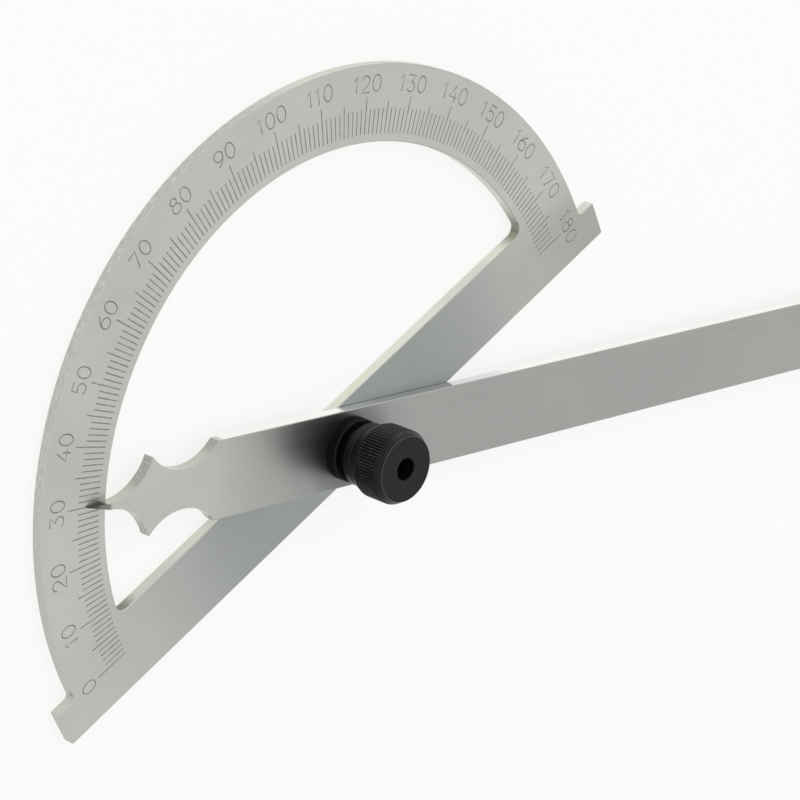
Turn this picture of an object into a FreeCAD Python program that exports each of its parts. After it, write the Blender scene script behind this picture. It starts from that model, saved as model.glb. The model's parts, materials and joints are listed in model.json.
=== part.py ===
"""Bevel protractor: arc plate with base bar, pointed swinging blade, pivot stud, washer and knurled nut.

Frame: the back face of the arc plate lies on Z = 0 and the pivot axis is the Z axis. X runs along the
base bar, with the scale's 0 end at -X and its 180 end at +X, and +Y points to the middle of the arc.
Millimetres and degrees throughout.
"""

import FreeCAD, Part
import math
import os

V = FreeCAD.Vector
UP = V(0, 0, 1)
ORIGIN = V(0, 0, 0)

# Arc plate: a half ring and a straight base bar, cut from one sheet
PLATE_THICK = 3.2
ARC_OUTER_R = 100.0
ARC_INNER_R = 80.0
BAR_HALF_W = 10.3
BAR_HALF_L = 106.0
EAR_ROOT_R = 1.3
EAR_TIP_R = 0.5
WINDOW_CORNER_R = 2.6
EDGE_BREAK = 0.2

# Blade: a flat strip that swings on the front of the plate, shown at this reading of the scale
READING = 30.0
BLADE_THICK = 3.2
BLADE_HALF_W = 10.5
BLADE_LENGTH = 300.0
TIP_R = 86.2
NOSE_ROOT_X = -81.1
NOSE_HALF_W = 0.7
TIP_HALF_W = 0.15
TIP_THICK = 0.2
REAR_SCALLOP = (-57.6, 19.0)
REAR_SCALLOP_R = 13.8
FRONT_SCALLOP = (-81.7, 15.0)
FRONT_SCALLOP_R = 14.3
TAIL_CORNER_R = 0.5

# Pivot stud: riveted flush at the back, journal in the blade, thread for the nut
JOURNAL_R = 4.0
RUNNING_GAP = 0.05
RIVET_HEAD_R = 6.0
SHOULDER_SINK = 0.1
THREAD_R = 2.95
RELIEF_R = 2.5
RELIEF_LENGTH = 1.0
STUD_TOP_BELOW_NUT = 5.0
THREAD_CHAMFER = 0.6

# Washer under the nut
WASHER_R = 8.5
WASHER_HOLE_R = 3.2
WASHER_THICK = 3.0
WASHER_CHAMFER = 0.3

# Knurled nut, sizes from its seat on the washer upwards
NUT_BORE_R = THREAD_R + RUNNING_GAP
FOOT_R = 6.9
FOOT_HEIGHT = 2.8
COLLAR_R = 8.5
COLLAR_HEIGHT = 2.5
COLLAR_BREAK = 0.3
NECK_R = 7.6
NECK_HEIGHT = 0.8
HEAD_R = 9.95
HEAD_REAR_R = 8.9
HEAD_REAR_TAPER = 2.7
KNURL_LENGTH = 6.3
HEAD_FACE_R = 8.75
HEAD_FRONT_TAPER = 2.1
BORE_SINK = 0.2
KNURL_COUNT = 75
KNURL_DEPTH = 0.32
KNURL_LAND = 0.28

FRONT_Z = PLATE_THICK
BLADE_TOP_Z = PLATE_THICK + BLADE_THICK
NUT_SEAT_Z = BLADE_TOP_Z + WASHER_THICK
HEAD_FOOT_Z = NUT_SEAT_Z + FOOT_HEIGHT + COLLAR_HEIGHT + NECK_HEIGHT
HEAD_TOP_Z = HEAD_FOOT_Z + HEAD_REAR_TAPER + KNURL_LENGTH + HEAD_FRONT_TAPER

# How far cutting tools run past a face, and how close two places count as the same
THROUGH = 1.0
NEAR = 0.02


def disc(radius, low, high):
    """A cylinder on the pivot axis between two heights."""
    return Part.makeCylinder(radius, high - low, V(0, 0, low), UP)


def block(low, high):
    """A box between two opposite corners."""
    size = high - low
    return Part.makeBox(size.x, size.y, size.z, low)


def turned(profile):
    """A solid turned about the pivot axis from (radius, height) points."""
    points = [V(radius, 0, height) for radius, height in profile]
    face = Part.Face(Part.makePolygon(points + points[:1]))
    return face.revolve(ORIGIN, UP, 360)


def prism(points, low, high):
    """A straight prism from (x, y) points between two heights."""
    corners = [V(x, y, low) for x, y in points]
    face = Part.Face(Part.makePolygon(corners + corners[:1]))
    return face.extrude(V(0, 0, high - low))


def upright_edges(solid, places):
    """The edges along Z that stand at the given (x, y) places."""
    found = []
    for edge in solid.Edges:
        first = edge.Vertexes[0].Point
        last = edge.Vertexes[-1].Point
        if abs(first.z - last.z) < NEAR:
            continue
        if any(math.hypot(first.x - x, first.y - y) < NEAR for x, y in places):
            found.append(edge)
    return found


def rim_edges(solid, levels):
    """The edges that lie flat in one of the given levels."""
    spans = [(edge, edge.BoundBox.ZMin, edge.BoundBox.ZMax) for edge in solid.Edges]
    return [edge for edge, low, high in spans
            if any(abs(low - level) < NEAR and abs(high - level) < NEAR for level in levels)]


def plate_outline():
    """The half disc with the base bar across its foot, ending in square ears past the arc."""
    arch = Part.makeCylinder(ARC_OUTER_R, PLATE_THICK, ORIGIN, UP, 180)
    bar = block(V(-BAR_HALF_L, -BAR_HALF_W, 0), V(BAR_HALF_L, 0, PLATE_THICK))
    return arch.fuse(bar).removeSplitter()


def window():
    """The D-shaped opening between the arc and the bar."""
    low, high = -THROUGH, PLATE_THICK + THROUGH
    round_part = disc(ARC_INNER_R, low, high)
    above_bar = block(V(-ARC_OUTER_R, BAR_HALF_W, low), V(ARC_OUTER_R, ARC_OUTER_R, high))
    return round_part.common(above_bar)


def rivet_seat():
    """The stud's shank and countersunk head, which fill the hole in the bar."""
    sink = RIVET_HEAD_R - JOURNAL_R
    return turned([(0, 0), (RIVET_HEAD_R, 0), (JOURNAL_R, sink), (JOURNAL_R, FRONT_Z), (0, FRONT_Z)])


def protractor_plate():
    """The arc and base bar, with rounded corners, broken rims and the countersunk pivot hole."""
    plate = plate_outline().cut(window())
    corner_x = math.sqrt(ARC_INNER_R ** 2 - BAR_HALF_W ** 2)
    window_corners = [(side * corner_x, BAR_HALF_W) for side in (-1, 1)]
    ear_roots = [(side * ARC_OUTER_R, 0) for side in (-1, 1)]
    ear_tips = [(side * BAR_HALF_L, y) for side in (-1, 1) for y in (0, -BAR_HALF_W)]
    plate = plate.makeFillet(WINDOW_CORNER_R, upright_edges(plate, window_corners))
    plate = plate.makeFillet(EAR_ROOT_R, upright_edges(plate, ear_roots))
    plate = plate.makeFillet(EAR_TIP_R, upright_edges(plate, ear_tips))
    plate = plate.makeChamfer(EDGE_BREAK, rim_edges(plate, (0, PLATE_THICK)))
    return plate.cut(rivet_seat())


def strip():
    """The blade's blank, lying along X with its corners rounded and its rims broken."""
    low = V(-TIP_R, -BLADE_HALF_W, FRONT_Z)
    blank = block(low, V(BLADE_LENGTH - TIP_R, BLADE_HALF_W, BLADE_TOP_Z))
    tail = [(BLADE_LENGTH - TIP_R, side * BLADE_HALF_W) for side in (-1, 1)]
    blank = blank.makeFillet(TAIL_CORNER_R, upright_edges(blank, tail))
    return blank.makeChamfer(EDGE_BREAK, rim_edges(blank, (FRONT_Z, BLADE_TOP_Z)))


def scallops():
    """The four round cuts that leave the barbs and the thin nose."""
    low, high = FRONT_Z - THROUGH, BLADE_TOP_Z + THROUGH
    cuts = []
    for (x, y), radius in ((REAR_SCALLOP, REAR_SCALLOP_R), (FRONT_SCALLOP, FRONT_SCALLOP_R)):
        for side in (-1, 1):
            cuts.append(disc(radius, low, high).translated(V(x, side * y, 0)))
    return cuts


def nose_cuts():
    """The two flanks that bring the nose to a point, and the bevel that thins it to the scale."""
    cuts = []
    root_x = FRONT_SCALLOP[0]
    end_x = -TIP_R - THROUGH
    slope = (NOSE_HALF_W - TIP_HALF_W) / (TIP_R + root_x)
    past_tip = TIP_HALF_W - slope * THROUGH
    for side in (-1, 1):
        flank = [(root_x, side * NOSE_HALF_W), (end_x, side * past_tip),
                 (end_x, side * BLADE_HALF_W), (root_x, side * BLADE_HALF_W)]
        cuts.append(prism(flank, FRONT_Z - THROUGH, BLADE_TOP_Z + THROUGH))
    drop = BLADE_THICK - TIP_THICK
    run = TIP_R + NOSE_ROOT_X
    past = THROUGH * run / drop
    bevel = [V(NOSE_ROOT_X + past, -BLADE_HALF_W, BLADE_TOP_Z + THROUGH),
             V(-TIP_R - past, -BLADE_HALF_W, FRONT_Z + TIP_THICK - THROUGH),
             V(-TIP_R - past, -BLADE_HALF_W, BLADE_TOP_Z + THROUGH)]
    face = Part.Face(Part.makePolygon(bevel + bevel[:1]))
    cuts.append(face.extrude(V(0, 2 * BLADE_HALF_W, 0)))
    return cuts


def blade():
    """The strip with its barbed and bevelled point, turned to the reading."""
    solid = strip()
    for cut in scallops() + nose_cuts():
        solid = solid.cut(cut)
    solid = solid.cut(disc(JOURNAL_R + RUNNING_GAP, FRONT_Z - THROUGH, BLADE_TOP_Z + THROUGH))
    solid.rotate(ORIGIN, UP, -READING)
    return solid


def pivot_stud():
    """Countersunk rivet head, journal, relief and threaded end, turned in one piece."""
    shoulder = BLADE_TOP_Z - SHOULDER_SINK
    top = HEAD_TOP_Z - STUD_TOP_BELOW_NUT
    upper = turned([(0, FRONT_Z), (JOURNAL_R, FRONT_Z), (JOURNAL_R, shoulder), (RELIEF_R, shoulder),
                    (RELIEF_R, shoulder + RELIEF_LENGTH), (THREAD_R, shoulder + RELIEF_LENGTH),
                    (THREAD_R, top - THREAD_CHAMFER), (THREAD_R - THREAD_CHAMFER, top), (0, top)])
    return rivet_seat().fuse(upper).removeSplitter()


def clamp_washer():
    """A thick flat washer with a chamfered front rim."""
    top = NUT_SEAT_Z
    return turned([(WASHER_HOLE_R, BLADE_TOP_Z), (WASHER_R, BLADE_TOP_Z), (WASHER_R, top - WASHER_CHAMFER),
                   (WASHER_R - WASHER_CHAMFER, top), (WASHER_HOLE_R, top)])


def nut_turning():
    """The nut as it leaves the lathe: foot, collar, neck and a head tapered at both ends."""
    collar_low = NUT_SEAT_Z + FOOT_HEIGHT
    collar_high = collar_low + COLLAR_HEIGHT
    knurl_low = HEAD_FOOT_Z + HEAD_REAR_TAPER
    return turned([(NUT_BORE_R, NUT_SEAT_Z), (FOOT_R, NUT_SEAT_Z), (FOOT_R, collar_low),
                   (COLLAR_R - COLLAR_BREAK, collar_low), (COLLAR_R, collar_low + COLLAR_BREAK),
                   (COLLAR_R, collar_high - COLLAR_BREAK), (COLLAR_R - COLLAR_BREAK, collar_high),
                   (NECK_R, collar_high), (NECK_R, HEAD_FOOT_Z),
                   (HEAD_REAR_R, HEAD_FOOT_Z), (HEAD_R, knurl_low),
                   (HEAD_R, knurl_low + KNURL_LENGTH), (HEAD_FACE_R, HEAD_TOP_Z),
                   (NUT_BORE_R + BORE_SINK, HEAD_TOP_Z), (NUT_BORE_R, HEAD_TOP_Z - BORE_SINK)])


def knurl_section():
    """One ring of (x, y) points: a flat land and a V groove for each flute."""
    pitch = 2 * math.pi / KNURL_COUNT
    half_land = KNURL_LAND / HEAD_R / 2
    points = []
    for flute in range(KNURL_COUNT):
        middle = flute * pitch
        for angle, radius in ((middle - half_land, HEAD_R), (middle + half_land, HEAD_R),
                              (middle + pitch / 2, HEAD_R - KNURL_DEPTH)):
            points.append((radius * math.cos(angle), radius * math.sin(angle)))
    return points


def knurled_nut():
    """The turned nut with a straight knurl rolled into its head."""
    turning = nut_turning()
    grip = prism(knurl_section(), HEAD_FOOT_Z, HEAD_TOP_Z + THROUGH)
    below = disc(HEAD_R + THROUGH, NUT_SEAT_Z - THROUGH, HEAD_FOOT_Z)
    return turning.common(grip.fuse(below)).removeSplitter()


def write(name, shape):
    """Check one node's solid and write its STEP file."""
    solids = shape.Solids
    assert len(solids) == 1 and shape.isValid(), name
    solids[0].exportStep(os.path.join("parts", name + ".step"))
    print(name, "volume", round(solids[0].Volume, 1), "faces", len(solids[0].Faces))


os.makedirs("parts", exist_ok=True)
write("protractor_plate", protractor_plate())
write("blade", blade())
write("pivot_stud", pivot_stud())
write("clamp_washer", clamp_washer())
write("knurled_nut", knurled_nut())
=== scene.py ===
"""Looks of a bevel protractor: satin chrome, an engraved scale and a blackened clamp nut.

The frame gives the plate, blade, stud, washer and nut as solids. This script dresses them, engraves
the degree scale, cuts the threads of stud and nut, and sets floor, light and camera. Lengths are in
metres, from the pivot axis and the back face.
"""

import json
import logging
import math
from collections.abc import Iterable, Sequence
from dataclasses import dataclass, field
from enum import Enum
from functools import cached_property, partial, reduce

import bpy
from mathutils import Matrix, Vector

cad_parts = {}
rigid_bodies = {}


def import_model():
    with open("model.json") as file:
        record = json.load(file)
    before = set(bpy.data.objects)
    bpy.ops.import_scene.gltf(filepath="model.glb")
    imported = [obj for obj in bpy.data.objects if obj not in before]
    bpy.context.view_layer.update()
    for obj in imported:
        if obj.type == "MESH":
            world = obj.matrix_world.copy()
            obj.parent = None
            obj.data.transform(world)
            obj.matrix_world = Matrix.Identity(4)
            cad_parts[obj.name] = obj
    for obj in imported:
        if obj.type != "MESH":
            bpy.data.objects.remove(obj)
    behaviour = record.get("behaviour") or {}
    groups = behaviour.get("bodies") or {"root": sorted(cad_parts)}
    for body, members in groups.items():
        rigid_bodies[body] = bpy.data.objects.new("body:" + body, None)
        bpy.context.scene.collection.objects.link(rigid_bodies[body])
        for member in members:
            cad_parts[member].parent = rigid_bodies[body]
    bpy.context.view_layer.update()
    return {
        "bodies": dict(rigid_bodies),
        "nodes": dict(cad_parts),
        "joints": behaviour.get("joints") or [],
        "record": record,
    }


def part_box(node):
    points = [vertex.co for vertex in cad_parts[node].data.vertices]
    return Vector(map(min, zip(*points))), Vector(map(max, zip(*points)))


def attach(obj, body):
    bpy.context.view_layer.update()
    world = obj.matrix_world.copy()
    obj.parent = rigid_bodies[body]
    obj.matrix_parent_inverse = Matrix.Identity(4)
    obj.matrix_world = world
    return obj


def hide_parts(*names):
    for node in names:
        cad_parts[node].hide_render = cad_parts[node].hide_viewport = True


log = logging.getLogger("protractor")

MM = 0.001
MERGE = 0.001 * MM
READING = 30.0
MIX_INPUTS = (0, 6, 7)
MIX_OUTPUT = 2

Colour = tuple[float, float, float]
Point2 = tuple[float, float]
Point3 = tuple[float, float, float]
Span = tuple[float, float]
Material = bpy.types.Material
Tree = bpy.types.NodeTree
Node = bpy.types.Node
Piece = bpy.types.Object
Socket = bpy.types.NodeSocket
Source = Socket | float | tuple[float, ...]
Outputs = dict[str, Socket]


class Body(str, Enum):
    """Bodies that the pieces made here ride on."""

    PROTRACTOR = "protractor"
    NUT = "nut"


class Slot(str, Enum):
    """Names of the record's material slots."""

    PLATE = "plate_chrome"
    STUD = "stud_steel"
    NUT = "nut_black"


class Axis(str, Enum):
    """Ways in which an effect fades, by the names of a shader's measures."""

    ACROSS = "across"
    UP = "up"
    HEIGHT = "height"
    REACH = "reach"
    RADIUS = "radius"
    ALONG = "along"


Fade = tuple[Axis, float, float]


@dataclass(frozen=True)
class Tone:
    """A tint and where it lies: each fade is an axis, the place of none and that of all."""

    tint: Colour
    fades: tuple[Fade, ...]


Tones = tuple[Tone, ...]


# ------------------------------ modelling helpers


def deselect_all() -> None:
    """Leave object mode with nothing selected."""
    if bpy.context.mode != "OBJECT":
        bpy.ops.object.mode_set(mode="OBJECT")
    bpy.ops.object.select_all(action="DESELECT")


def pick(*pieces: Piece) -> None:
    """Select these objects alone, and make the first one active.

    Args:
        pieces: The objects to pick.
    """
    deselect_all()
    for piece in pieces:
        piece.select_set(True)
    bpy.context.view_layer.objects.active = pieces[0]


def linked(name: str, data: bpy.types.ID) -> Piece:
    """Put a new object with this data in the scene.

    Args:
        name: The object's name.
        data: Its mesh, curve, light or camera.

    Returns:
        The object.
    """
    piece = bpy.data.objects.new(name, data)
    bpy.context.scene.collection.objects.link(piece)
    return piece


def settle(piece: Piece) -> Piece:
    """Bring an object's place, turn and scale into its mesh.

    Args:
        piece: The object to settle.

    Returns:
        The same object, at the origin.
    """
    pick(piece)
    bpy.ops.object.transform_apply(location=True, rotation=True, scale=True)
    return piece


def apply_modifier(piece: Piece, name: str) -> None:
    """Apply one modifier of an object."""
    pick(piece)
    bpy.ops.object.modifier_apply(modifier=name)


def outward(piece: Piece) -> Piece:
    """Merge doubled vertices and turn every face outwards.

    Args:
        piece: The object whose mesh is mended.

    Returns:
        The same object.
    """
    pick(piece)
    bpy.ops.object.mode_set(mode="EDIT")
    bpy.ops.mesh.select_all(action="SELECT")
    bpy.ops.mesh.remove_doubles(threshold=MERGE)
    bpy.ops.mesh.normals_make_consistent(inside=False)
    bpy.ops.object.mode_set(mode="OBJECT")
    return piece


def shade(piece: Piece, degrees: float = 30.0) -> Piece:
    """Shade round surfaces smooth and keep edges crisp.

    Args:
        piece: The object to shade.
        degrees: Edges sharper than this stay crisp.

    Returns:
        The same object.
    """
    pick(piece)
    if piece.data.has_custom_normals:
        bpy.ops.mesh.customdata_custom_splitnormals_clear()
    bpy.ops.object.shade_smooth_by_angle(angle=math.radians(degrees))
    return piece


def turned(profile: Sequence[Point2], steps: int, name: str) -> Piece:
    """Turn a profile about the pivot axis, as on a lathe.

    Args:
        profile: Points as (radius, height), from the lower end to the upper one.
        steps: Number of steps round the axis.
        name: The new object's name.

    Returns:
        The turned object, closed and facing outwards.
    """
    deselect_all()
    bpy.ops.mesh.primitive_circle_add(vertices=len(profile), radius=profile[1][0])
    piece = bpy.context.object
    piece.name = name
    for vertex, (radius, height) in zip(piece.data.vertices, profile):
        vertex.co = (radius, 0.0, height)
    closing = len(profile) - 1
    for edge in piece.data.edges:
        edge.select = set(edge.vertices) == {0, closing}
    bpy.context.tool_settings.mesh_select_mode = (False, True, False)
    bpy.ops.object.mode_set(mode="EDIT")
    bpy.ops.mesh.delete(type="EDGE")
    bpy.ops.mesh.select_all(action="SELECT")
    bpy.ops.mesh.spin(steps=steps, angle=2 * math.pi, center=(0, 0, 0), axis=(0, 0, 1))
    bpy.ops.object.mode_set(mode="OBJECT")
    return shade(settle(outward(piece)))


# ------------------------------ shader helpers


class Graph:
    """A node tree with short ways to add and link nodes."""

    def __init__(self, tree: Tree) -> None:
        """Wrap a node tree."""
        self.tree = tree

    def add(self, kind: str, **settings: object) -> Node:
        """Add a node.

        Args:
            kind: The node's type.
            settings: Properties to set on it.

        Returns:
            The node.
        """
        node = self.tree.nodes.new(kind)
        for key, value in settings.items():
            setattr(node, key, value)
        return node

    def feed(self, socket: Socket, value: Source) -> None:
        """Link a socket to another one, or set its constant.

        Args:
            socket: The input to feed.
            value: A node's output, or a constant. A colour gets full alpha.
        """
        if isinstance(value, Socket):
            self.tree.links.new(value, socket)
        else:
            socket.default_value = (*value, 1.0) if socket.type == "RGBA" else value

    def fed(self, node: Node, *values: Source, **named: Source) -> Node:
        """Feed a node's inputs.

        Args:
            node: The node.
            values: Sockets or constants for its first inputs.
            named: Those for inputs by name, with underscores for spaces.

        Returns:
            The same node.
        """
        for socket, value in zip(node.inputs, values):
            self.feed(socket, value)
        for key, value in named.items():
            self.feed(node.inputs[key.replace("_", " ")], value)
        return node

    def maths(self, operation: str, *values: Source) -> Socket:
        """Result of a Math node."""
        return self.fed(self.add("ShaderNodeMath", operation=operation), *values).outputs[0]

    def times(self, *values: Source) -> Socket:
        """Product of several values."""
        return reduce(partial(self.maths, "MULTIPLY"), values)

    def most(self, *values: Source) -> Socket:
        """The greatest of several values."""
        return reduce(partial(self.maths, "MAXIMUM"), values)

    def vector(self, operation: str, *values: Source, output: str = "Vector") -> Socket:
        """Result of a Vector Math node."""
        node = self.fed(self.add("ShaderNodeVectorMath", operation=operation), *values)
        return node.outputs[output]

    def combine(self, *values: Source) -> Socket:
        """A vector of up to three values."""
        return self.fed(self.add("ShaderNodeCombineXYZ"), *values).outputs[0]

    def split(self, vector: Socket) -> tuple[Socket, ...]:
        """The three parts of a vector."""
        return tuple(self.fed(self.add("ShaderNodeSeparateXYZ"), vector).outputs)

    def ramp(self, value: Source, span: Span, start: Source = 0.0, end: Source = 1.0) -> Socket:
        """Map a value smoothly from one range to another.

        Args:
            value: The value to map.
            span: The value that gives start and the value that gives end.
            start: Result at the span's first value.
            end: Result at its second value.

        Returns:
            The mapped value.
        """
        node = self.add("ShaderNodeMapRange", interpolation_type="SMOOTHSTEP")
        return self.fed(node, value, *span, start, end).outputs["Result"]

    def noise(self, vector: Socket, scale: Source = 1.0, detail: float = 2.0) -> Socket:
        """Noise between 0 and 1."""
        node = self.add("ShaderNodeTexNoise")
        return self.fed(node, Vector=vector, Scale=scale, Detail=detail).outputs["Fac"]

    def blend(self, mask: Source, first: Source, second: Source, kind: str = "MIX") -> Socket:
        """Mix two colours by a mask.

        Args:
            mask: 0 gives the first colour and 1 the second.
            first: Socket or colour.
            second: Socket or colour.
            kind: How the second colour is laid on the first.

        Returns:
            The mixed colour.
        """
        node = self.add("ShaderNodeMix", data_type="RGBA", blend_type=kind)
        for index, value in zip(MIX_INPUTS, (mask, first, second)):
            self.feed(node.inputs[index], value)
        return node.outputs[MIX_OUTPUT]

    @cached_property
    def place(self) -> Socket:
        """Object coordinates."""
        return self.add("ShaderNodeTexCoord").outputs["Object"]

    @cached_property
    def axes(self) -> tuple[Socket, ...]:
        """X, Y and Z of the object coordinates."""
        return self.split(self.place)

    @property
    def across(self) -> Socket:
        """X, along the bar."""
        return self.axes[0]

    @property
    def up(self) -> Socket:
        """Y, from the bar towards the arc's middle."""
        return self.axes[1]

    @property
    def height(self) -> Socket:
        """Z, from the back face."""
        return self.axes[2]

    @cached_property
    def reach(self) -> Socket:
        """Distance along the bar from its middle."""
        return self.maths("ABSOLUTE", self.across)

    @cached_property
    def radius(self) -> Socket:
        """Distance from the pivot axis."""
        flat = self.vector("MULTIPLY", self.place, (1.0, 1.0, 0.0))
        return self.vector("LENGTH", flat, output="Value")

    def off(self, radius: float) -> Socket:
        """Distance from a cylinder about the pivot axis."""
        return self.maths("ABSOLUTE", self.maths("SUBTRACT", self.radius, radius))


def group(name: str, inputs: dict[str, float | Point3],
          outputs: Sequence[str]) -> tuple[Graph, Outputs, Node]:
    """Start a shader node group.

    Args:
        name: The group's name.
        inputs: Default of each input, a number or a vector.
        outputs: Name of each output, a number.

    Returns:
        The group's graph, the sockets of its inputs and its output node.
    """
    tree = bpy.data.node_groups.new(name, "ShaderNodeTree")
    for label, default in inputs.items():
        kind = "NodeSocketVector" if isinstance(default, tuple) else "NodeSocketFloat"
        socket = tree.interface.new_socket(name=label, in_out="INPUT", socket_type=kind)
        socket.default_value = default
    for label in outputs:
        tree.interface.new_socket(name=label, in_out="OUTPUT", socket_type="NodeSocketFloat")
    graph = Graph(tree)
    given = graph.add("NodeGroupInput").outputs
    return graph, {socket.name: socket for socket in given}, graph.add("NodeGroupOutput")


@dataclass(frozen=True)
class Effects:
    """Shader node groups that several finishes share."""

    sides: Tree
    grain: Tree
    smudge: Tree
    rings: Tree

    @classmethod
    def build(cls) -> "Effects":
        """Build each group once."""
        return cls(cls._sides(), cls._grain(), cls._smudge(), cls._rings())

    @staticmethod
    def _sides() -> Tree:
        """Masks from the normal: broken edges, upright walls, and faces turned one way, which the
        finishes paint as lit.

        Returns:
            The group.
        """
        edge_spans = ((0.52, 0.60), (0.82, 0.76))
        wall_span = (0.35, 0.15)
        # The side turned towards Way, which the finishes paint as lit.
        lit_span = (0.70, 0.92)
        graph, given, out = group("edge_and_wall", {"Way": (0.0, 1.0, 0.0)},
                                  ("Edge", "Wall", "Clean"))
        normal = graph.add("ShaderNodeTexCoord").outputs["Normal"]
        steep = graph.maths("ABSOLUTE", graph.split(normal)[2])
        facing = graph.vector("DOT_PRODUCT", normal, given["Way"], output="Value")
        graph.fed(out, Edge=graph.times(*(graph.ramp(steep, span) for span in edge_spans)),
                  Wall=graph.ramp(steep, wall_span), Clean=graph.ramp(facing, lit_span))
        return graph.tree

    @staticmethod
    def _grain() -> Tree:
        """Fine parallel scratches: long noise along one direction, fine across it.

        Returns:
            The group.
        """
        graph, given, out = group(
            "brushed_grain", {"Turn": 0.0, "Along": 60.0, "Across": 4000.0}, ("Value", "Broad"))
        lay = graph.add("ShaderNodeVectorRotate", rotation_type="EULER_XYZ")
        graph.fed(lay, Vector=graph.place, Rotation=graph.combine(0.0, 0.0, given["Turn"]))
        scale = graph.combine(given["Along"], given["Across"], given["Across"])
        stretched = graph.vector("MULTIPLY", lay.outputs[0], scale)
        for output, share, detail in (("Value", 1.0, 3.0), ("Broad", 0.22, 2.0)):
            shrunk = graph.vector("MULTIPLY", stretched, (share,) * 3)
            graph.feed(out.inputs[output], graph.noise(shrunk, detail=detail))
        return graph.tree

    @staticmethod
    def _smudge() -> Tree:
        """Faint clouds of handling, and fine specks, over a surface.

        Returns:
            The group.
        """
        graph, given, out = group("smudge", {"Cloud": 30.0, "Speck": 2500.0},
                                  ("Clouds", "Specks"))
        for output, source, detail in (("Clouds", "Cloud", 4.0), ("Specks", "Speck", 2.0)):
            graph.feed(out.inputs[output], graph.noise(graph.place, given[source], detail))
        return graph.tree

    @staticmethod
    def _rings() -> Tree:
        """Tool rings of turning: noise along a path away from the axis.

        Returns:
            The group.
        """
        graph, given, out = group("tool_rings", {"Path": 0.0, "Rings": 5200.0}, ("Value",))
        noise = graph.add("ShaderNodeTexNoise", noise_dimensions="1D")
        graph.fed(noise, W=given["Path"], Scale=given["Rings"])
        graph.fed(out, Value=noise.outputs["Fac"])
        return graph.tree


class Shader(Graph):
    """The node tree of a new material, with its Principled shader and shared masks."""

    def __init__(self, name: str, turn: float = 0.0) -> None:
        """Start a material.

        Args:
            name: Its name.
            turn: Angle between the X axis and the length of the piece.
        """
        self.material = bpy.data.materials.new(name)
        self.material.use_nodes = True
        super().__init__(self.material.node_tree)
        self.principled = self.tree.nodes["Principled BSDF"]
        self.turn = turn
        self.masks: Outputs = {}

    @cached_property
    def along(self) -> Socket:
        """Distance from the pivot along the piece, positive towards the blade's tail."""
        way = (math.cos(self.turn), -math.sin(self.turn), 0.0)
        return self.vector("DOT_PRODUCT", self.place, way, output="Value")

    def within(self, *fades: Fade) -> Socket:
        """Mask of a region, the product of its fades."""
        return self.times(*(self.ramp(getattr(self, axis.value), span) for axis, *span in fades))

    def toned(self, colour: Source, tones: Tones) -> Source:
        """Lay tones over a colour, one after another.

        Args:
            colour: The colour.
            tones: The tones.

        Returns:
            The toned colour.
        """
        for tone in tones:
            colour = self.blend(self.within(*tone.fades), colour, tone.tint, "MULTIPLY")
        return colour

    def use(self, tree: Tree, **values: Source) -> Outputs:
        """Place a shared group.

        Args:
            tree: The group.
            values: Constants or sockets for its inputs.

        Returns:
            The group's outputs by name.
        """
        node = self.fed(self.add("ShaderNodeGroup", node_tree=tree), **values)
        return {socket.name: socket for socket in node.outputs}

    def paint(self, **values: Source) -> None:
        """Feed the Principled shader's inputs, with underscores for spaces."""
        self.fed(self.principled, **values)

    def relief(self, height: Socket, depth: float) -> None:
        """Raise the surface by a height through a Bump node."""
        bump = self.fed(self.add("ShaderNodeBump"), Height=height, Distance=depth)
        self.paint(Normal=bump.outputs["Normal"])


# ------------------------------ finishes


@dataclass(frozen=True)
class Finish:
    """What every finish has. A span holds the values where an effect starts and is full."""

    name: str
    turn: float = 0.0

    def material(self, effects: Effects) -> Material:
        """Build the material.

        Args:
            effects: The shared node groups.

        Returns:
            The material.
        """
        shader = Shader(self.name, self.turn)
        self.wire(shader, effects)
        return shader.material

    def wire(self, shader: Shader, effects: Effects) -> None:
        """Wire the material's nodes."""
        raise NotImplementedError


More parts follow.
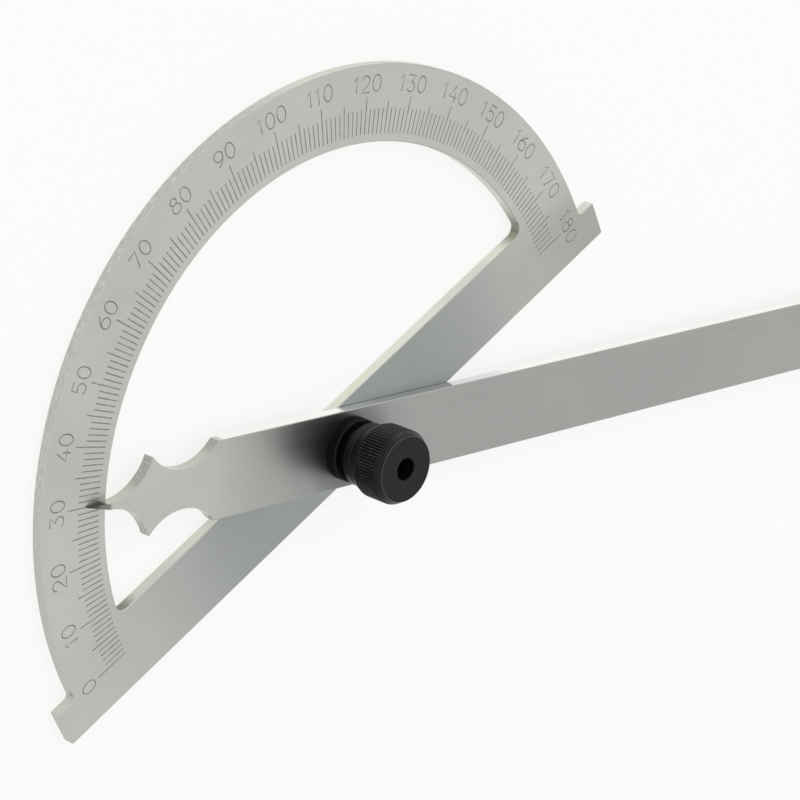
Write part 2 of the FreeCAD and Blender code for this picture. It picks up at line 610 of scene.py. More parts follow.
@dataclass(frozen=True)
class SatinChrome(Finish):
    """Satin chromed steel: fine grain, soft clouds, ground walls with painted light where they face
    one way, and faintly broken edges.
    """

    face: Colour = (0.525, 0.535, 0.500)
    shade: Colour = (0.455, 0.465, 0.440)
    wall: Colour = (0.50, 0.520, 0.485)
    # Colour of the bright specks, and the painted light on walls turned one way.
    clean_wall: Colour = (0.77, 0.785, 0.69)
    edge: Colour = (0.45, 0.455, 0.435)
    # Tones of painted shade over the face, the walls and the lit walls.
    face_tones: Tones = ()
    wall_tones: Tones = ()
    clean_tones: Tones = ()
    roughness: float = 0.40
    rough_spread: float = 0.12
    wall_roughness: float = 0.34
    edge_roughness: float = 0.60
    along: float = 60.0
    across: float = 4000.0
    grain_share: float = 0.25
    grain_span: Span = (0.30, 0.70)
    cloud_scale: float = 28.0
    cloud_share: float = 0.45
    cloud_span: Span = (0.35, 0.68)
    speck_scale: float = 1900.0
    speck_share: float = 0.50
    speck_span: Span = (0.48, 0.62)
    speck_height: float = 0.35
    low_specks: float = 0.35
    rise_span: Span = (20 * MM, 80 * MM)
    mottle: float = 0.30
    mottle_span: Span = (0.40, 0.60)
    depth: float = 0.006 * MM

    def wire(self, shader: Shader, effects: Effects) -> None:
        """Wire the material's nodes.

        Args:
            shader: The new material.
            effects: The shared node groups.
        """
        way = (math.sin(self.turn), math.cos(self.turn), 0.0)
        masks = shader.use(effects.grain, Turn=self.turn, Along=self.along, Across=self.across)
        masks |= shader.use(effects.sides, Way=way)
        masks |= shader.use(effects.smudge, Cloud=self.cloud_scale, Speck=self.speck_scale)
        shader.masks = masks
        streak = shader.ramp(masks["Value"], self.grain_span, end=self.grain_share)
        mask = shader.maths("MULTIPLY_ADD", shader.ramp(masks["Clouds"], self.cloud_span),
                            self.cloud_share, streak)
        face = self.front(shader, shader.blend(mask, self.face, self.shade))
        colour = shader.blend(masks["Wall"], face, self.walls(shader))
        colour = shader.blend(masks["Edge"], colour, self.edges(shader))
        rough = shader.maths("MULTIPLY_ADD", masks["Broad"], self.rough_spread,
                             self.roughness - self.rough_spread / 2)
        rough = shader.maths("MULTIPLY_ADD", masks["Wall"],
                             self.wall_roughness - self.roughness, rough)
        rough = shader.most(rough, shader.times(masks["Edge"], self.edge_roughness))
        shader.paint(Base_Color=colour, Metallic=1.0, Roughness=rough)
        fine = shader.maths("MULTIPLY_ADD", masks["Specks"], self.speck_height, masks["Value"])
        shader.relief(fine, self.depth)

    def front(self, shader: Shader, face: Socket) -> Source:
        """Colour of the face with its tones of painted shade."""
        return shader.toned(face, self.face_tones)

    def edges(self, shader: Shader) -> Source:
        """Colour of the broken edges."""
        return self.edge

    def specks(self, shader: Shader) -> Socket:
        """Mask of the cutter's bright specks on the walls."""
        return shader.ramp(shader.masks["Specks"], self.speck_span)

    def clean_share(self, shader: Shader) -> Socket:
        """How much of a wall gets painted light, here the walls turned one way."""
        return shader.masks["Clean"]

    def walls(self, shader: Shader) -> Source:
        """Colour of the upright walls: specked, with painted light where they face one way.

        Args:
            shader: The new material.

        Returns:
            The walls' colour.
        """
        specks = shader.times(self.specks(shader), self.speck_share,
                              shader.ramp(shader.up, self.rise_span, self.low_specks))
        plain = shader.blend(specks, self.wall, self.clean_wall)
        clouds = shader.ramp(shader.masks["Clouds"], self.mottle_span, end=self.mottle)
        # Painted light on walls turned one way, mottled, under its tones of painted shade.
        lit = shader.toned(shader.blend(clouds, self.clean_wall, self.wall), self.clean_tones)
        return shader.toned(shader.blend(self.clean_share(shader), plain, lit), self.wall_tones)


@dataclass(frozen=True)
class PlateChrome(SatinChrome):
    """The plate's chrome: painted shade round the hub, the bar's right end and the window corners,
    streaked rim.
    """

    face_tones: Tones = (
        # Painted shade round the hub, from the nut.
        Tone((0.62, 0.64, 0.66), ((Axis.RADIUS, 97 * MM, 28 * MM), (Axis.UP, 24 * MM, 12 * MM))),
        # Painted shade towards the bar's right end and lower edge.
        Tone((0.80, 0.79, 0.785), ((Axis.ACROSS, 62 * MM, 96 * MM), (Axis.UP, 16 * MM, 2 * MM))))
    wall_tones: Tones = (
        # Painted shade in the window corners, on the walls where arc and bar meet.
        Tone((0.40, 0.40, 0.375), (
            (Axis.REACH, 71 * MM, 77.5 * MM), (Axis.REACH, 81.5 * MM, 80.5 * MM),
            (Axis.UP, 24 * MM, 11 * MM), (Axis.UP, 7 * MM, 9 * MM))),)
    # Painted shade on the lit walls, darker towards the bar's left end.
    clean_tones: Tones = (Tone((0.83, 0.835, 0.855), ((Axis.ACROSS, 0.0, -105 * MM),)),)
    left_edge: Colour = (0.56, 0.565, 0.54)
    left: Fade = (Axis.ACROSS, 0.0, -60 * MM)
    rim: float = 100 * MM
    # Painted light on the rim wall, from none at the left end to this share at the right.
    rim_clean: float = 0.8
    rim_span: Span = (2 * MM, 40 * MM)
    bore: float = 80 * MM
    # Painted reflection on the arc's bore above the bar.
    bore_clean: float = 0.6
    above_bar: Fade = (Axis.UP, 7 * MM, 9 * MM)
    near: Span = (1.2 * MM, 0.3 * MM)
    streak_along: float = 550.0
    streak_across: float = 2600.0
    streak_span: Span = (0.46, 0.64)

    def edges(self, shader: Shader) -> Source:
        """Colour of the broken edges, brighter at the left."""
        return shader.blend(shader.within(self.left), self.edge, self.left_edge)

    def specks(self, shader: Shader) -> Socket:
        """Mask of the cutter's marks: streaks round the rim, specks elsewhere.

        Args:
            shader: The new material.

        Returns:
            The mask.
        """
        turn = shader.maths("ARCTAN2", shader.across, shader.up)
        spot = shader.combine(shader.times(turn, self.rim, self.streak_along),
                              shader.times(shader.height, self.streak_across))
        streaks = shader.ramp(shader.noise(spot), self.streak_span)
        specks = super().specks(shader)
        return shader.maths("MULTIPLY_ADD", shader.ramp(shader.off(self.rim), self.near),
                            shader.maths("SUBTRACT", streaks, specks), specks)

    def clean_share(self, shader: Shader) -> Socket:
        """How much painted light a wall gets: less on the rim's left part, and a painted reflection
        in the arc's bore.

        Args:
            shader: The new material.

        Returns:
            The mask.
        """
        rim_share = shader.ramp(shader.across, self.rim_span, end=self.rim_clean)
        kept = shader.ramp(shader.off(self.rim), self.near, 1.0, rim_share)
        in_bore = shader.ramp(shader.off(self.bore), self.near, end=self.bore_clean)
        return shader.most(shader.times(shader.masks["Clean"], kept),
                           shader.times(in_bore, shader.within(self.above_bar)))


@dataclass(frozen=True)
class BladeChrome(SatinChrome):
    """The blade's chrome: lengthwise grain, painted shade on barbs, nose, long end and round the
    nut.
    """

    # Near white: the bright specks, and the painted reflection of white surroundings on walls
    # turned one way.
    clean_wall: Colour = (1.0, 1.0, 0.985)
    face_tones: Tones = (
        # Painted shade towards the blade's long end.
        Tone((0.715, 0.72, 0.73), ((Axis.ALONG, -58 * MM, -18 * MM),)),
        # Painted shade round the nut and washer.
        Tone((0.80, 0.81, 0.82), ((Axis.RADIUS, 28 * MM, 9 * MM),)),
        Tone((0.60, 0.60, 0.62), ((Axis.RADIUS, 17 * MM, 8 * MM),)))
    wall_tones: Tones = (
        # Painted shade and reflection of the bar on the walls where they pass over it.
        Tone((0.76, 0.765, 0.78), (
            (Axis.ALONG, 2 * MM, 14 * MM), (Axis.ALONG, 66 * MM, 52 * MM))),)
    roughness: float = 0.36
    wall_roughness: float = 0.17
    along: float = 40.0
    across: float = 5200.0
    grain_share: float = 0.34
    mottle: float = 0.04
    # Barb walls: cutter marks over painted shade; barb roots turned one way get painted light.
    barb_wall: Colour = (0.345, 0.35, 0.32)
    root_wall: Colour = (0.56, 0.565, 0.50)
    barb_share: float = 0.6
    barb_specks: Span = (0.36, 0.66)
    barbs: Fade = (Axis.ALONG, -44.5 * MM, -45.5 * MM)
    # Painted shade on the nose's bevel, darkest at the tip.
    nose: Colour = (0.20, 0.21, 0.195)
    nose_tip: Colour = (0.07, 0.072, 0.068)
    bevel: Fade = (Axis.ALONG, -80.6 * MM, -81.4 * MM)
    bevel_tip: Fade = (Axis.ALONG, -82.2 * MM, -84.5 * MM)
    bevel_wall: Fade = (Axis.ALONG, -81.5 * MM, -82.2 * MM)

    def front(self, shader: Shader, face: Socket) -> Source:
        """Colour of the face, with painted shade on the bevelled nose."""
        nose = shader.blend(shader.within(self.bevel_tip), self.nose, self.nose_tip)
        return shader.blend(shader.within(self.bevel), super().front(shader, face), nose)

    def walls(self, shader: Shader) -> Source:
        """Colour of the walls: painted shade on the barbs' walls and the nose's, painted light on
        barb roots.

        Args:
            shader: The new material.

        Returns:
            The walls' colour.
        """
        specks = shader.ramp(shader.masks["Specks"], self.barb_specks, end=self.barb_share)
        # Painted shade on the barb walls, painted light on those turned one way.
        cut = shader.blend(shader.masks["Clean"], shader.blend(specks, self.barb_wall, self.wall),
                           self.root_wall)
        wall = shader.blend(shader.within(self.barbs), super().walls(shader), cut)
        # Painted shadow on the nose's walls.
        return shader.blend(shader.within(self.bevel_wall), wall, self.nose_tip)


@dataclass(frozen=True)
class BlackOxide(Finish):
    """Blackened turned steel: fine turning rings, dust, a soft sheen, worn edges and painted shade
    under the nut's head.
    """

    face: Colour = (0.012, 0.012, 0.0125)
    # Colour of dust, turning rings and worn edges, and of the nut's painted glints, highlight and
    # sheen.
    worn: Colour = (0.10, 0.101, 0.10)
    # Painted shade under the nut's head: darker inside 7.8 mm radius below 15.5 mm height.
    tones: Tones = (
        Tone((0.40, 0.38, 0.36), (
            (Axis.RADIUS, 8.2 * MM, 7.8 * MM), (Axis.HEIGHT, 16.0 * MM, 15.5 * MM))),)
    roughness: float = 0.42
    rough_spread: float = 0.16
    metallic: float = 0.8
    gloss: float = 0.35
    cloud_scale: float = 160.0
    speck_scale: float = 3800.0
    rings: float = 5200.0
    ring_share: float = 0.14
    ring_span: Span = (0.40, 0.80)
    dust_share: float = 0.22
    dust_span: Span = (0.58, 0.72)
    edge_share: float = 0.12
    depth: float = 0.010 * MM

    def wire(self, shader: Shader, effects: Effects) -> None:
        """Wire the material's nodes.

        Args:
            shader: The new material.
            effects: The shared node groups.
        """
        path = shader.maths("ADD", shader.radius, shader.height)
        ring = shader.use(effects.rings, Path=path, Rings=self.rings)["Value"]
        smudge = shader.use(effects.smudge, Cloud=self.cloud_scale, Speck=self.speck_scale)
        dust = shader.ramp(smudge["Specks"], self.dust_span, end=self.dust_share)
        turning = shader.ramp(ring, self.ring_span, end=self.ring_share)
        # Wear, and the nut's painted glints, highlight and sheen.
        wear_and_glints = shader.most(dust, turning, self.rubbed(shader, effects))
        colour = shader.toned(shader.blend(wear_and_glints, self.face, self.worn), self.tones)
        rough = shader.maths("MULTIPLY_ADD", smudge["Clouds"], self.rough_spread,
                             self.roughness - self.rough_spread / 2)
        shader.paint(Base_Color=colour, Metallic=self.metallic, Roughness=rough,
                     Specular_IOR_Level=self.gloss)
        shader.relief(ring, self.depth)

    def rubbed(self, shader: Shader, effects: Effects) -> Socket:
        """Mask of places rubbed bright, here the broken edges."""
        return shader.times(shader.use(effects.sides)["Edge"], self.edge_share)


@dataclass(frozen=True)
class KnurlOxide(BlackOxide):
    """The nut's black: knurl crests worn and with painted glints, a painted highlight on its face's
    worn rim, a painted sheen on one side.
    """

    top: float = 0.0
    # Knurl crests, worn, with painted glints.
    crests: Fade = (Axis.RADIUS, 9.85 * MM, 9.94 * MM)
    glint_cloud: float = 900.0
    glint_speck: float = 2200.0
    glint_span: Span = (0.46, 0.70)
    glint_least: float = 0.05
    glint_most: float = 0.60
    # Painted highlight round the face's worn edge.
    rim: float = 8.75 * MM
    rim_share: float = 0.7
    rim_span: Span = (0.14 * MM, 0.03 * MM)
    rim_drop: Span = (0.25 * MM, 0.10 * MM)
    # Painted sheen on the nut's side turned towards the light.
    film_way: Point3 = (0.5, 0.866, 0.0)
    film_share: float = 0.4
    film_span: Span = (8.6 * MM, 9.6 * MM)

    def rubbed(self, shader: Shader, effects: Effects) -> Socket:
        """Mask of places made bright: worn knurl crests with painted glints, the worn face rim with
        a painted highlight, and a painted sheen on one side.

        Args:
            shader: The new material.
            effects: The shared node groups.

        Returns:
            The mask.
        """
        glints = shader.use(effects.smudge, Cloud=self.glint_cloud, Speck=self.glint_speck)
        broken = shader.ramp(glints["Clouds"], self.glint_span, self.glint_least, self.glint_most)
        crest = shader.times(shader.within(self.crests), broken)
        under = tuple(self.top - drop for drop in self.rim_drop)
        rim = shader.times(shader.ramp(shader.off(self.rim), self.rim_span, end=self.rim_share),
                           shader.ramp(shader.height, under))
        # Painted sheen on one side.
        painted_sheen = shader.times(shader.use(effects.sides, Way=self.film_way)["Clean"],
                            shader.ramp(shader.radius, self.film_span, end=self.film_share))
        return shader.most(crest, rim, painted_sheen)


@dataclass(frozen=True)
class TurnedSteel(Finish):
    """Plain turned steel of the stud, with faint tool rings."""

    # Dark for steel: painted shade where the stud shows down the nut's bore.
    face: Colour = (0.16, 0.157, 0.15)
    dull: Colour = (0.09, 0.088, 0.083)
    dull_share: float = 0.8
    dull_span: Span = (0.40, 0.65)
    roughness: float = 0.29
    rough_spread: float = 0.15
    cloud_scale: float = 220.0
    speck_scale: float = 4000.0
    rings: float = 4200.0
    depth: float = 0.006 * MM

    def wire(self, shader: Shader, effects: Effects) -> None:
        """Wire the material's nodes.

        Args:
            shader: The new material.
            effects: The shared node groups.
        """
        ring = shader.use(effects.rings, Path=shader.radius, Rings=self.rings)["Value"]
        smudge = shader.use(effects.smudge, Cloud=self.cloud_scale, Speck=self.speck_scale)
        mask = shader.ramp(smudge["Clouds"], self.dull_span, end=self.dull_share)
        rough = shader.maths("MULTIPLY_ADD", ring, self.rough_spread, self.roughness)
        shader.paint(Base_Color=shader.blend(mask, self.face, self.dull), Metallic=1.0,
                     Roughness=rough)
        shader.relief(ring, self.depth)


@dataclass(frozen=True)
class EngravedFill(Finish):
    """The dark floor of engraved lines: etched metal with remains of blacking."""

    dark: Colour = (0.19, 0.19, 0.183)
    pale: Colour = (0.31, 0.31, 0.295)
    pale_span: Span = (0.35, 0.70)
    metallic: float = 0.3
    smooth: float = 0.55
    rough: float = 0.75
    rough_span: Span = (0.30, 0.70)
    cloud_scale: float = 350.0
    speck_scale: float = 5000.0

    def wire(self, shader: Shader, effects: Effects) -> None:
        """Wire the material's nodes.

        Args:
            shader: The new material.
            effects: The shared node groups.
        """
        smudge = shader.use(effects.smudge, Cloud=self.cloud_scale, Speck=self.speck_scale)
        colour = shader.blend(shader.ramp(smudge["Clouds"], self.pale_span), self.dark, self.pale)
        rough = shader.ramp(smudge["Specks"], self.rough_span, self.smooth, self.rough)
        shader.paint(Base_Color=colour, Metallic=self.metallic, Roughness=rough)


# ------------------------------ engraved scale


@dataclass(frozen=True)
class Stroke:
    """One pen stroke of a digit, in units of the digit's height."""

    points: tuple[Point2, ...]
    closed: bool = False


def arc(centre: Point2, radii: Point2, start: float, end: float,
        steps: int) -> tuple[Point2, ...]:
    """Points along an elliptic arc.

    Args:
        centre: The ellipse's centre.
        radii: Its half width and half height.
        start: First angle in degrees.
        end: Last angle in degrees.
        steps: Number of steps between them.

    Returns:
        The points, both ends included.
    """
    angles = [math.radians(start + (end - start) * step / steps) for step in range(steps + 1)]
    return tuple((centre[0] + radii[0] * math.cos(angle), centre[1] + radii[1] * math.sin(angle))
                 for angle in angles)


def ring(centre: Point2, radii: Point2, steps: int = 20) -> Stroke:
    """A closed ellipse without its doubled last point."""
    return Stroke(arc(centre, radii, 0, 360, steps)[:-1], closed=True)


DIGITS: dict[str, tuple[Stroke, ...]] = {
    "0": (ring((0.33, 0.5), (0.33, 0.5), 24),),
    "1": (Stroke(((0.02, 0.76), (0.22, 1.0), (0.22, 0.0))),),
    "2": (Stroke(arc((0.32, 0.70), (0.30, 0.30), 170, -30, 10) + ((0.0, 0.0), (0.66, 0.0))),),
    "3": (Stroke(((0.04, 1.0), (0.60, 1.0), (0.27, 0.60))
                 + arc((0.31, 0.30), (0.31, 0.30), 82, -150, 12)),),
    "4": (Stroke(((0.42, 1.0), (0.0, 0.28), (0.66, 0.28))), Stroke(((0.50, 0.58), (0.50, 0.0)))),
    "5": (Stroke(((0.58, 1.0), (0.10, 1.0), (0.05, 0.54))
                 + arc((0.31, 0.32), (0.32, 0.32), 125, -150, 14)),),
    "6": (ring((0.33, 0.32), (0.33, 0.32)),
          Stroke(((0.50, 1.0),) + arc((0.62, 0.32), (0.62, 0.60), 118, 176, 5))),
    "7": (Stroke(((0.0, 1.0), (0.64, 1.0), (0.20, 0.0))),),
    "8": (ring((0.33, 0.29), (0.33, 0.29)), ring((0.33, 0.79), (0.24, 0.21))),
    "9": (ring((0.33, 0.68), (0.33, 0.32)),
          Stroke(((0.16, 0.0),) + arc((0.04, 0.68), (0.62, 0.60), -62, -4, 5))),
}


@dataclass
class DegreeScale:
    """The engraved half-circle scale: a line each degree, and numbers each ten."""

    face: float
    line_foot: float = 82.1 * MM
    line_ends: dict[int, float] = field(
        default_factory=lambda: {10: 91.8 * MM, 5: 90.3 * MM, 1: 88.6 * MM})
    line_width: float = 0.31 * MM
    line_depth: float = 0.14 * MM
    fill_depth: float = 0.03 * MM
    digit_foot: float = 92.95 * MM
    digit_height: float = 4.3 * MM
    digit_stroke: float = 0.32 * MM
    digit_depth: float = 0.26 * MM
    digit_width: float = 0.70
    digit_gap: float = 0.20
    one_width: float = 0.44
    sweep: int = 180
    number_step: int = 10

    def lines(self, name: str, top: float, bottom: float) -> Piece:
        """All degree lines as one object.

        Args:
            name: The object's name.
            top: Height of the lines' upper faces.
            bottom: Height of their lower faces.

        Returns:
            The joined lines.
        """
        models = {}
        for step, end in self.line_ends.items():
            deselect_all()
            bpy.ops.mesh.primitive_cube_add(
                size=1, location=((self.line_foot + end) / 2, 0, (top + bottom) / 2),
                scale=(end - self.line_foot, self.line_width, top - bottom))
            models[step] = settle(bpy.context.object)
        marks = []
        for degree in range(self.sweep + 1):
            step = next(step for step in models if degree % step == 0)
            mark = linked(name, models[step].data.copy())
            mark.data.transform(Matrix.Rotation(math.pi - math.radians(degree), 4, "Z"))
            marks.append(mark)
        for model in models.values():
            bpy.data.objects.remove(model)
        pick(*marks)
        bpy.ops.object.join()
        marks[0].name = name
        return marks[0]

    def _advance(self, digit: str) -> float:
        """How wide one digit is, in heights."""
        return self.one_width if digit == "1" else self.digit_width

    def _number_strokes(self, value: int) -> Iterable[tuple[list[Vector], bool]]:
        """Strokes of one number, placed on the scale.

        Args:
            value: The number to write.

        Yields:
            Points of each stroke in the plane of the scale, and whether it is closed.
        """
        text = str(value)
        widths = [self._advance(digit) for digit in text]
        total = sum(widths) + self.digit_gap * (len(text) - 1)
        turn = math.pi - math.radians(value)
        outward_way = Vector((math.cos(turn), math.sin(turn), 0))
        reading_way = Vector((math.sin(turn), -math.cos(turn), 0))
        start = -total / 2
        for digit, width in zip(text, widths):
            for stroke in DIGITS[digit]:
                points = []
                for x, y in stroke.points:
                    along = (start + x) * self.digit_height
                    rise = self.digit_foot + y * self.digit_height
                    points.append(outward_way * rise + reading_way * along)
                yield points, stroke.closed
            start += width + self.digit_gap

    def numbers(self, name: str, depth: float, level: float) -> Piece:
        """All numbers as V-shaped strokes.

        Args:
            name: The object's name.
            depth: Half height of a stroke's diamond section.
            level: Height of the sections' middle.

        Returns:
            The numbers as one mesh.
        """
        curve = bpy.data.curves.new(name, "CURVE")
        curve.dimensions = "3D"
        curve.bevel_depth = self.digit_stroke / 2
        curve.bevel_resolution = 0
        curve.use_fill_caps = True
        for value in range(0, self.sweep + 1, self.number_step):
            for points, closed in self._number_strokes(value):
                spline = curve.splines.new("POLY")
                spline.points.add(len(points) - 1)
                for spot, point in zip(spline.points, points):
                    spot.co = (*point, 1.0)
                spline.use_cyclic_u = closed
        pick(linked(name, curve))
        bpy.ops.object.convert(target="MESH")
        piece = bpy.context.object
        piece.scale = (1, 1, depth / (self.digit_stroke / 2))
        piece.location = (0, 0, level)
        return settle(outward(piece))


# ------------------------------ the protractor's pieces


@dataclass
class ArcPlate:
    """The arc and base bar with the scale engraved in its face."""

    scale: DegreeScale
    finish: PlateChrome
    fill: EngravedFill
    cutter_rise: float = 0.05 * MM
    floor_share: float = 1.3
    crisp: float = 12.0
    node: str = "protractor_plate"

    def build(self, frame: dict, effects: Effects) -> list[Piece]:
        """Engrave a copy of the plate and lay the dark fill in its lines.

        Args:
            frame: The loaded frame.
            effects: The shared node groups.

        Returns:
            The plate, its lines and its numbers.
        """
        scale = self.scale
        plate = outward(linked("engraved_plate", frame["nodes"][self.node].data.copy()))
        face = scale.face
        foot = face - scale.line_depth
        lines_cutter = scale.lines("lines_cutter", face + self.cutter_rise, foot)
        numbers_cutter = scale.numbers("numbers_cutter", scale.digit_depth, face)
        for cutter in (lines_cutter, numbers_cutter):
            self._engrave(plate, cutter)
        shade(plate, self.crisp)
        lines = scale.lines("scale_lines", face - scale.fill_depth, foot)
        numbers = scale.numbers("scale_numbers", scale.fill_depth,
                                face - self.floor_share * scale.fill_depth)
        metal = self.finish.material(effects)
        dark = self.fill.material(effects)
        for piece, material in ((plate, metal), (lines, dark), (numbers, dark)):
            dress(piece, material)
            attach(piece, Body.PROTRACTOR.value)
        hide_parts(self.node)
        dress(frame["nodes"][self.node], metal)
        return [plate, lines, numbers]

    @staticmethod
    def _engrave(plate: Piece, cutter: Piece) -> None:
        """Cut one object out of the plate and throw it away.

        Args:
            plate: The plate.
            cutter: The object to cut out.
        """
        cut = plate.modifiers.new("engrave", "BOOLEAN")
        cut.operation = "DIFFERENCE"
        cut.solver = "EXACT"
        cut.use_self = True
        cut.object = cutter
        apply_modifier(plate, cut.name)
        bpy.data.objects.remove(cutter)


@dataclass
class Blade:
    """The swinging blade, ground lengthwise and chromed."""

    finish: BladeChrome
    node: str = "blade"

    def build(self, frame: dict, effects: Effects) -> list[Piece]:
        """Dress the blade.

        Args:
            frame: The loaded frame.
            effects: The shared node groups.

        Returns:
            The dressed blade.
        """
        blade = frame["nodes"][self.node]
        dress(blade, self.finish.material(effects))
        return [blade]


@dataclass
class Thread:
    """A 60 degree screw thread, its crest turned out or in, its root sunk in what carries it."""

    crest: float
    wall: float
    pitch: float = 1.0 * MM
    crest_share: float = 0.16
    root_share: float = 0.80
    overlap: float = 0.02 * MM
    crisp: float = 25.0
    steps: int = 32

    def cut(self, name: str, low: float, high: float, phase: float) -> Piece:
        """Wind the thread's section up between two heights.

        Args:
            name: The new object's name.
            low: Where the first turn starts.
            high: Where the last turn ends.
            phase: Share of a turn by which the thread is turned.

        Returns:
            The thread as a closed ridge.
        """
        half_crest = self.crest_share * self.pitch / 2
        half_root = self.root_share * self.pitch / 2
        turns = int((high - low - 2 * half_root) / self.pitch)
        middle = low + half_root
        root = self.wall + math.copysign(self.overlap, self.wall - self.crest)
        deselect_all()
        bpy.ops.mesh.primitive_circle_add(vertices=4, radius=self.pitch, fill_type="NGON")
        ridge = bpy.context.object
        ridge.name = name
        section = ((root, -half_root), (self.crest, -half_crest),
                   (self.crest, half_crest), (root, half_root))
        for vertex, (radius, rise) in zip(ridge.data.vertices, section):
            vertex.co = (radius, 0.0, middle + rise)
        wind = ridge.modifiers.new("wind", "SCREW")
        wind.axis = "Z"
        wind.angle = 2 * math.pi
        wind.screw_offset = self.pitch
        wind.iterations = turns
        wind.steps = self.steps
        wind.render_steps = self.steps
        apply_modifier(ridge, wind.name)
        ridge.rotation_euler = (0, 0, 2 * math.pi * phase)
        return shade(settle(outward(ridge)), self.crisp)


@dataclass
class PivotStud:
    """The riveted stud: countersunk head, journal, relief and a real M6 thread."""

    finish: TurnedSteel
    head: float
    blade_top: float
    shoulder_drop: float = 0.1 * MM
    journal: float = 4.0 * MM
    rivet: float = 6.0 * MM
    relief: float = 2.5 * MM
    relief_length: float = 1.0 * MM
    core: float = 2.46 * MM
    crest: float = 2.93 * MM
    chamfer: float = 0.6 * MM
    steps: int = 96
    node: str = "pivot_stud"

    def build(self, frame: dict, effects: Effects) -> list[Piece]:
        """Turn the stud and wind its thread.

        Args:
            frame: The loaded frame.
            effects: The shared node groups.

        Returns:
            The stud and its thread.
        """
        sink = self.rivet - self.journal
        shoulder = self.blade_top - self.shoulder_drop
        thread_low = shoulder + self.relief_length
        profile = [(0.0, 0.0), (self.rivet, 0.0), (self.journal, sink), (self.journal, shoulder),
                   (self.relief, shoulder), (self.relief, thread_low),
                   (self.core, thread_low), (self.core, self.head - self.chamfer / 2),
                   (self.core - self.chamfer, self.head), (0.0, self.head)]
        stud = turned(profile, self.steps, "threaded_stud")
        thread = Thread(self.crest, self.core)
        ridge = thread.cut("stud_thread", thread_low, self.head - self.chamfer, 0.0)
        material = self.finish.material(effects)
        for piece in (stud, ridge):
            dress(piece, material)
            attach(piece, Body.PROTRACTOR.value)
        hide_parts(self.node)
        dress(frame["nodes"][self.node], material)
        return [stud, ridge]


@dataclass
class ClampNut:
    """The knurled nut with its inner thread, and the washer under it."""

    nut_finish: KnurlOxide
    washer_finish: BlackOxide
    # A darker copy of the black: painted shade down the nut's bore.
    bore_finish: BlackOxide
    bore: float = 3.0 * MM
    crest: float = 2.56 * MM
    run_out: float = 0.5 * MM
    phase: float = 0.5
    node: str = "knurled_nut"
    washer_node: str = "clamp_washer"

    def build(self, frame: dict, effects: Effects) -> list[Piece]:
        """Dress the nut and washer and thread the bore, half a turn off the stud's thread.

        Args:
            frame: The loaded frame.
            effects: The shared node groups.

        Returns:
            The nut, its thread and the washer.
        """
        low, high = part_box(self.node)
        nut = frame["nodes"][self.node]
        washer = frame["nodes"][self.washer_node]
        dress(nut, self.nut_finish.material(effects))
        dress(washer, self.washer_finish.material(effects))
        thread = Thread(self.crest, self.bore)
        ridge = thread.cut("nut_thread", low.z + self.run_out, high.z - self.run_out, self.phase)
        dress(ridge, self.bore_finish.material(effects))
        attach(ridge, Body.NUT.value)
        return [nut, ridge, washer]


# ------------------------------ stage


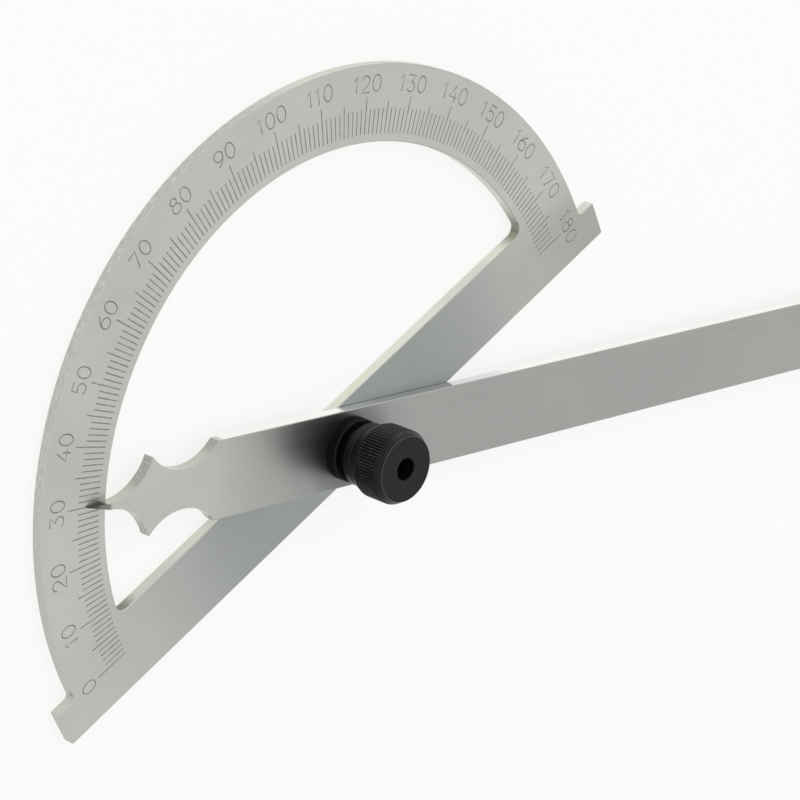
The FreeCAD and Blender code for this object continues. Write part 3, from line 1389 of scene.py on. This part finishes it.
@dataclass
class Studio:
    """Pale floor, soft even light, and the camera."""

    aim: Vector = field(default_factory=lambda: Vector((0.02228, -0.00302, 0.0032)))
    right: Vector = field(default_factory=lambda: Vector((0.64192, -0.28344, 0.71246)))
    up: Vector = field(default_factory=lambda: Vector((0.61801, 0.74125, -0.26193)))
    distance: float = 0.8270
    lens: float = 141.68
    clip: Span = (0.01, 50.0)
    floor_size: float = 6.0
    floor_drop: float = 0.1 * MM
    floor_colour: Colour = (0.92, 0.925, 0.90)
    floor_shade: float = 0.985
    floor_clouds: float = 3.0
    floor_roughness: float = 0.9
    veil_colour: Colour = (1.0, 1.0, 0.985)
    veil_share: float = 0.80
    sky_colour: Colour = (1.0, 1.0, 1.0)
    sky_strength: float = 0.88
    sky_glossy: float = 1.0
    lamp_power: float = 8.0
    lamp_size: float = 2.0
    lamp_place: Vector = field(default_factory=lambda: Vector((1.3, 1.5, 0.9)))

    def camera(self) -> None:
        """Set the camera at the view of the object, rolled as it is held."""
        back = self.right.cross(self.up).normalized()
        place = self.aim + back * self.distance
        lens = bpy.data.cameras.new("camera")
        lens.lens = self.lens
        lens.clip_start, lens.clip_end = self.clip
        camera = linked("camera", lens)
        turn = Matrix((self.right, self.up, back)).transposed().to_4x4()
        camera.matrix_world = Matrix.Translation(place) @ turn
        bpy.context.scene.camera = camera

    def floor(self) -> None:
        """Lay the pale floor under the back face, veiled in white for the camera."""
        deselect_all()
        bpy.ops.mesh.primitive_plane_add(size=self.floor_size, location=(0, 0, -self.floor_drop))
        floor = settle(bpy.context.object)
        floor.name = "floor"
        shader = Shader("pale_floor")
        pale = tuple(part * self.floor_shade for part in self.floor_colour)
        clouds = shader.noise(shader.place, self.floor_clouds)
        shader.paint(Base_Color=shader.blend(clouds, self.floor_colour, pale),
                     Roughness=self.floor_roughness, Specular_IOR_Level=0.0)
        path = shader.add("ShaderNodeLightPath").outputs
        seen = shader.most(path["Is Camera Ray"], path["Is Glossy Ray"])
        veil = shader.fed(shader.add("ShaderNodeEmission"), Color=self.veil_colour)
        mixed = shader.fed(shader.add("ShaderNodeMixShader"), shader.times(seen, self.veil_share),
                           shader.principled.outputs[0], veil.outputs[0])
        shader.fed(shader.tree.nodes["Material Output"], Surface=mixed.outputs[0])
        dress(floor, shader.material)

    def light(self) -> None:
        """Light the scene evenly from a white sky and one large soft lamp."""
        world = bpy.data.worlds.new("white_studio")
        world.use_nodes = True
        bpy.context.scene.world = world
        world.node_tree.nodes.clear()
        graph = Graph(world.node_tree)
        off_on = (0.0, 1.0)
        path = graph.add("ShaderNodeLightPath").outputs
        clear = graph.most(path["Is Camera Ray"], path["Is Transmission Ray"])
        level = graph.ramp(path["Is Glossy Ray"], off_on, self.sky_strength, self.sky_glossy)
        sky = graph.fed(graph.add("ShaderNodeBackground"), Color=self.sky_colour,
                        Strength=graph.ramp(clear, off_on, level))
        graph.fed(graph.add("ShaderNodeOutputWorld"), Surface=sky.outputs[0])
        lamp = bpy.data.lights.new("softbox", "AREA")
        lamp.energy = self.lamp_power
        lamp.shape = "SQUARE"
        lamp.size = self.lamp_size
        softbox = linked("softbox", lamp)
        softbox.location = self.lamp_place
        softbox.rotation_euler = (-self.lamp_place).to_track_quat("-Z", "Y").to_euler()

    def build(self) -> None:
        """Set camera, floor, light and plain colour management."""
        self.camera()
        self.floor()
        self.light()
        bpy.context.scene.view_settings.view_transform = "Standard"


def dress(piece: Piece, material: Material) -> None:
    """Give a piece its one material."""
    piece.data.materials.clear()
    piece.data.materials.append(material)


def main() -> None:
    """Build the pieces in order, then the stage."""
    logging.basicConfig(level=logging.INFO, format="%(name)s %(message)s")
    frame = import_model()
    effects = Effects.build()
    Studio().build()
    plate_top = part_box("protractor_plate")[1].z
    blade_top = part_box("blade")[1].z
    stud_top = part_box("pivot_stud")[1].z
    nut_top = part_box("knurled_nut")[1].z
    assemblies = (
        ArcPlate(DegreeScale(plate_top), PlateChrome("satin_plate"), EngravedFill("engraved_fill")),
        Blade(BladeChrome("ground_blade", turn=math.radians(READING))),
        PivotStud(TurnedSteel("turned_stud"), stud_top, blade_top),
        ClampNut(KnurlOxide("black_knurl", top=nut_top),
                 BlackOxide("black_washer", face=(0.004,) * 3, roughness=0.7),
                 # The nut's thread, darker than its black: painted shade in the bore.
                 BlackOxide("shaded_black_bore", face=(0.002,) * 3, worn=(0.004,) * 3, roughness=0.8)))
    for assembly in assemblies:
        for piece in assembly.build(frame, effects):
            log.info("%s: %d faces", piece.name, len(piece.data.polygons))


if __name__ == "__main__":
    main()
